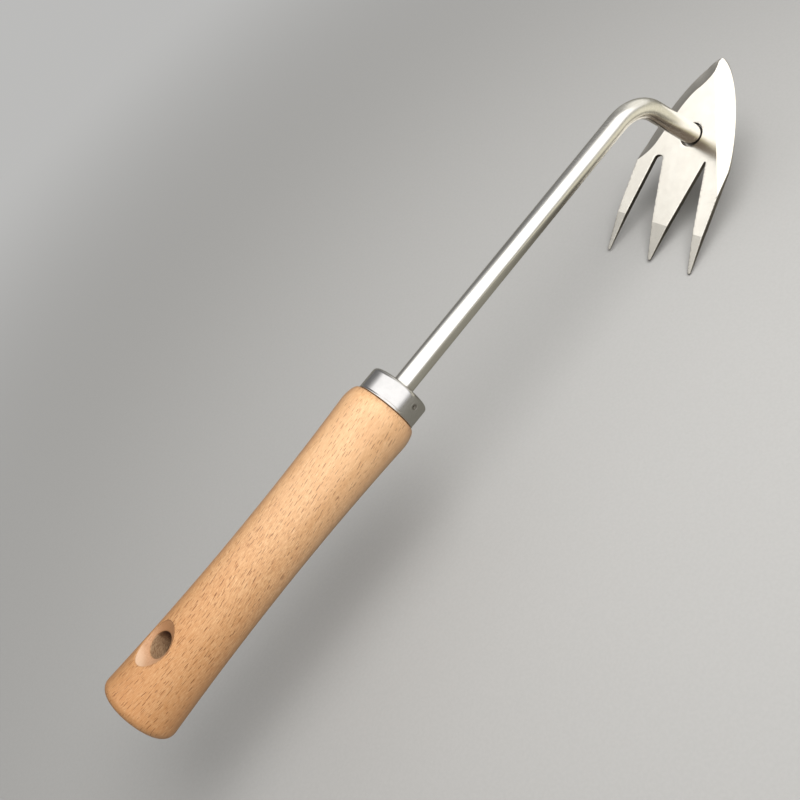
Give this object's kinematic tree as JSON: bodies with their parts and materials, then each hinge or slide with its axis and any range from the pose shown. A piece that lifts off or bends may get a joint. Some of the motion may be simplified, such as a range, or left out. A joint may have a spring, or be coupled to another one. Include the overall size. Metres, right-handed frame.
{
  "type": "hand cultivator",
  "caption": "Double-ended hand weeder: a leaf-shaped blade and a tined fork in one flat polished head, on a bent round steel shank with a turned wooden handle and a steel ferrule.",
  "frame": {"origin": "centre of the handle's flat butt", "axes": "+X along the handle's axis towards the shank; the shank bends down towards -Z in the XZ plane, and the blade's point leads towards +X with the tines trailing towards -X; +Z is the side that the hanging hole opens to"},
  "size_m": [0.3289, 0.0444, 0.0771],
  "materials": {
    "beech": "bare sanded beech, satin",
    "satin_steel": "satin, drawn cup with fine turning lines",
    "drawn_steel": "bright drawn bar with fine lengthwise lines",
    "polished_steel": "near-mirror polish, ground bevels",
    "weld_steel": "as welded, rippled and slightly tinted"
  },
  "bodies": {
    "root": {"handle": "beech", "ferrule": "satin_steel", "shank": "drawn_steel", "head_plate": "polished_steel", "weld_bead": "weld_steel"}
  },
  "joints": []
}
